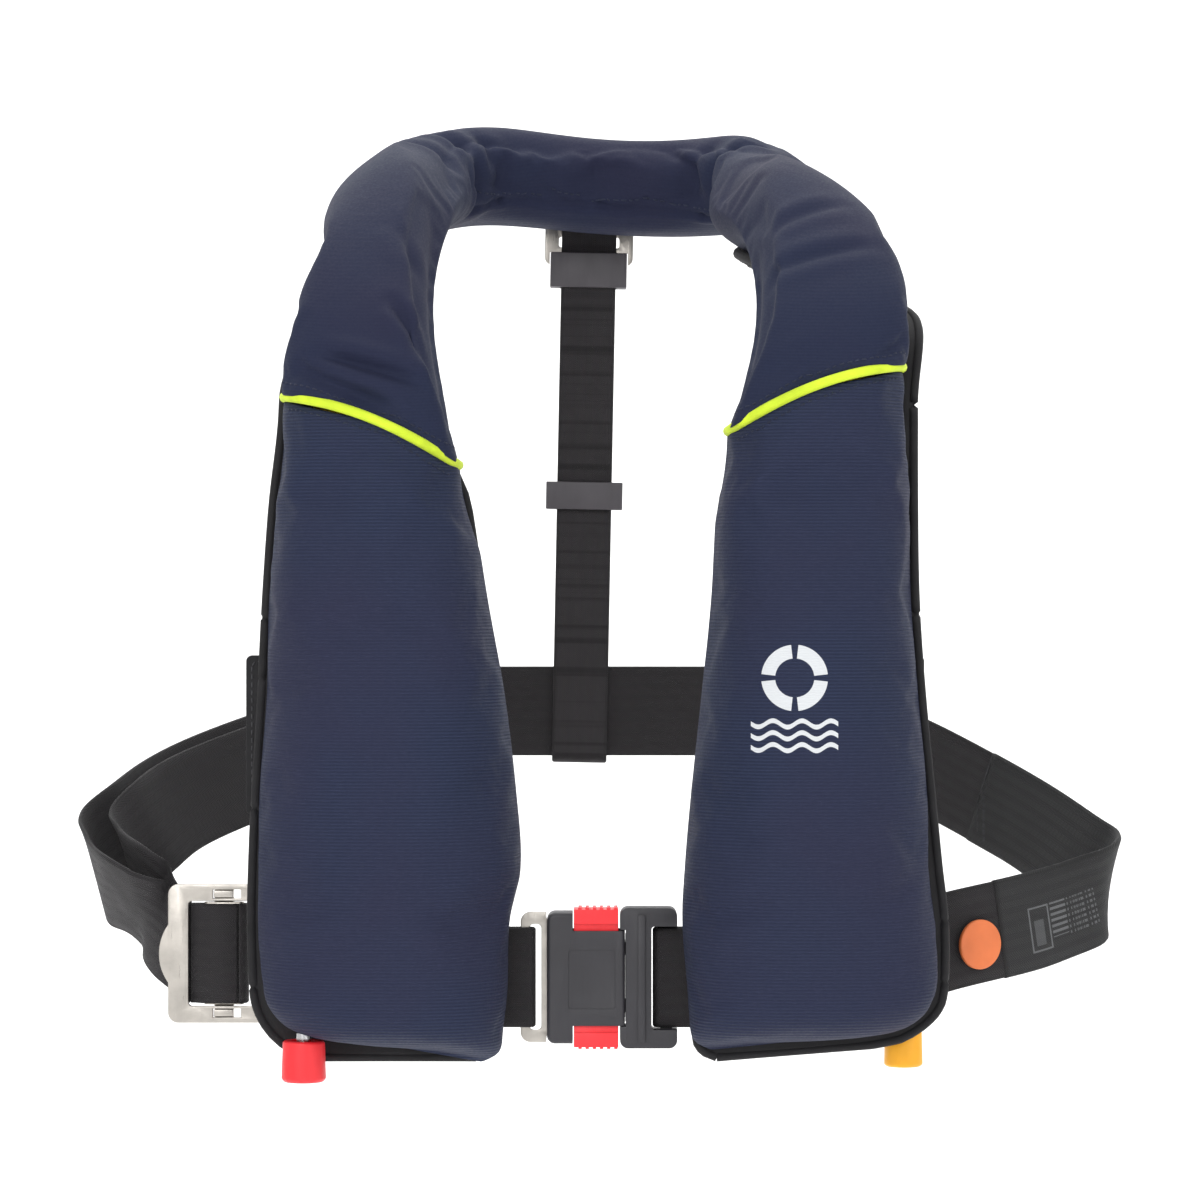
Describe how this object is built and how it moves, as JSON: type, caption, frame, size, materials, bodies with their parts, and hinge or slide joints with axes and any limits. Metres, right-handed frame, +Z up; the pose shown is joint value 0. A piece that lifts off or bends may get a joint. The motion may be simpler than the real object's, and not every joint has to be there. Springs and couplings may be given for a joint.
{
  "type": "inflatable life jacket",
  "caption": "Horseshoe life jacket with covered bladder, gas inflator, oral tube, waist belt with side-release buckle, belt adjuster and back strap.",
  "frame": {"origin": "centre of the neck opening, level with the underside of the collar", "axes": "+Z up as worn, +X towards the wearer's left, +Y behind the wearer"},
  "size_m": [0.5321, 0.3241, 0.4829],
  "materials": {
    "navy_fabric": "matte ribbed weave",
    "black_fabric": "matte",
    "black_webbing": "matte woven",
    "lime_piping": "matte",
    "bladder_yellow": "coated, satin",
    "steel": "satin",
    "black_plastic": "fine matte texture",
    "grey_plastic": "satin",
    "red_plastic": "satin",
    "yellow_plastic": "satin",
    "orange_plastic": "satin",
    "white_salt": "matte",
    "red_cord": "braided"
  },
  "bodies": {
    "harness": {"back_panel_left": "black_fabric", "back_panel_right": "black_fabric", "back_ring": "steel", "back_strap": "black_webbing", "belt_back": "black_webbing", "belt_front_left": "black_webbing", "belt_side_left": "black_webbing", "belt_tunnel_left": "black_fabric", "belt_tunnel_right": "black_fabric", "bladder": "bladder_yellow", "buckle_tongue": "black_plastic", "cartridge_cap": "yellow_plastic", "co2_cylinder": "steel", "collar_anchor_loop": "black_webbing", "collar_cover": "navy_fabric", "cover_left": "navy_fabric", "cover_right": "navy_fabric", "cylinder_seal_disc": "steel", "firing_spring": "steel", "inflator_head": "black_plastic", "inspection_badge": "orange_plastic", "latch_spring_lower": "steel", "latch_spring_upper": "steel", "lever_axle": "steel", "lifting_loop": "black_webbing", "manifold_nut": "black_plastic", "oral_tube": "black_plastic", "oral_valve": "black_plastic", "piping_left": "lime_piping", "piping_right": "lime_piping", "side_flap_left": "black_fabric", "side_flap_right": "black_fabric", "signal_whistle": "yellow_plastic", "tube_keeper_loop": "black_fabric", "water_cartridge": "white_salt", "yoke_left": "navy_fabric", "yoke_right": "navy_fabric"},
    "right_belt": {"buckle_receiver": "black_plastic", "receiver_webbing_plate": "steel", "front_strap": "black_webbing", "adjuster_frame": "steel", "belt_side_right": "black_webbing", "belt_tail": "black_webbing"},
    "adjuster_slider": {"adjuster_bar": "steel", "belt_adjuster_fold": "black_webbing"},
    "upper_button": {"release_button_upper": "red_plastic"},
    "lower_button": {"release_button_lower": "red_plastic"},
    "lever": {"manual_lever": "black_plastic"},
    "pull": {"pull_cord": "red_cord", "pull_knob": "red_plastic", "knob_ferrule": "steel"},
    "pin": {"firing_pin": "steel"},
    "oral_cap": {"oral_tube_cap": "yellow_plastic"},
    "poppet": {"valve_poppet": "grey_plastic"},
    "keeper_upper": {"strap_keeper_upper": "grey_plastic"},
    "keeper_lower": {"strap_keeper_lower": "grey_plastic"}
  },
  "joints": [
    {"name": "buckle_release", "type": "slide", "parent": "harness", "child": "right_belt", "axis": [-1, 0, 0], "range_m": [0, 0.026]},
    {"name": "release_upper", "type": "slide", "parent": "harness", "child": "upper_button", "axis": [0, 0, -1], "range_m": [0, 0.003], "stiffness_N_per_m": 900, "springref_m": -0.002},
    {"name": "release_lower", "type": "slide", "parent": "harness", "child": "lower_button", "axis": [0, 0, 1], "range_m": [0, 0.003], "stiffness_N_per_m": 900, "springref_m": -0.002},
    {"name": "adjuster_grip", "type": "slide", "parent": "right_belt", "child": "adjuster_slider", "axis": [1, 0, 0], "range_m": [0, 0.003]},
    {"name": "manual_pull", "type": "hinge", "parent": "harness", "child": "lever", "pos_m": [-0.1205, -0.163, -0.372], "axis": [0, -1, 0], "range_deg": [0, 60]},
    {"name": "cord_travel", "type": "slide", "parent": "harness", "child": "pull", "axis": [0, 0, -1], "range_m": [0, 0.02632]},
    {"name": "pin_travel", "type": "slide", "parent": "harness", "child": "pin", "axis": [0, 0, 1], "range_m": [0, 0.0086], "stiffness_N_per_m": 200, "springref_m": -0.01, "deforming": ["firing_spring"]},
    {"name": "cap_pull_off", "type": "slide", "parent": "harness", "child": "oral_cap", "axis": [0, 0, -1], "range_m": [0, 0.025]},
    {"name": "valve_press", "type": "slide", "parent": "harness", "child": "poppet", "axis": [0, 0, 1], "range_m": [0, 0.0025], "stiffness_N_per_m": 300, "springref_m": -0.001},
    {"name": "keeper_upper_slide", "type": "slide", "parent": "harness", "child": "keeper_upper", "axis": [-0.0192, 0, -0.9998], "range_m": [0, 0.06]},
    {"name": "keeper_lower_slide", "type": "slide", "parent": "harness", "child": "keeper_lower", "axis": [-0.0192, 0, -0.9998], "range_m": [-0.035, 0.05]}
  ],
  "couplings": [
    {"joint": "manual_pull", "follows": "cord_travel", "rad_per_m": 39.776},
    {"joint": "pin_travel", "follows": "cord_travel", "ratio": 0.32286}
  ]
}
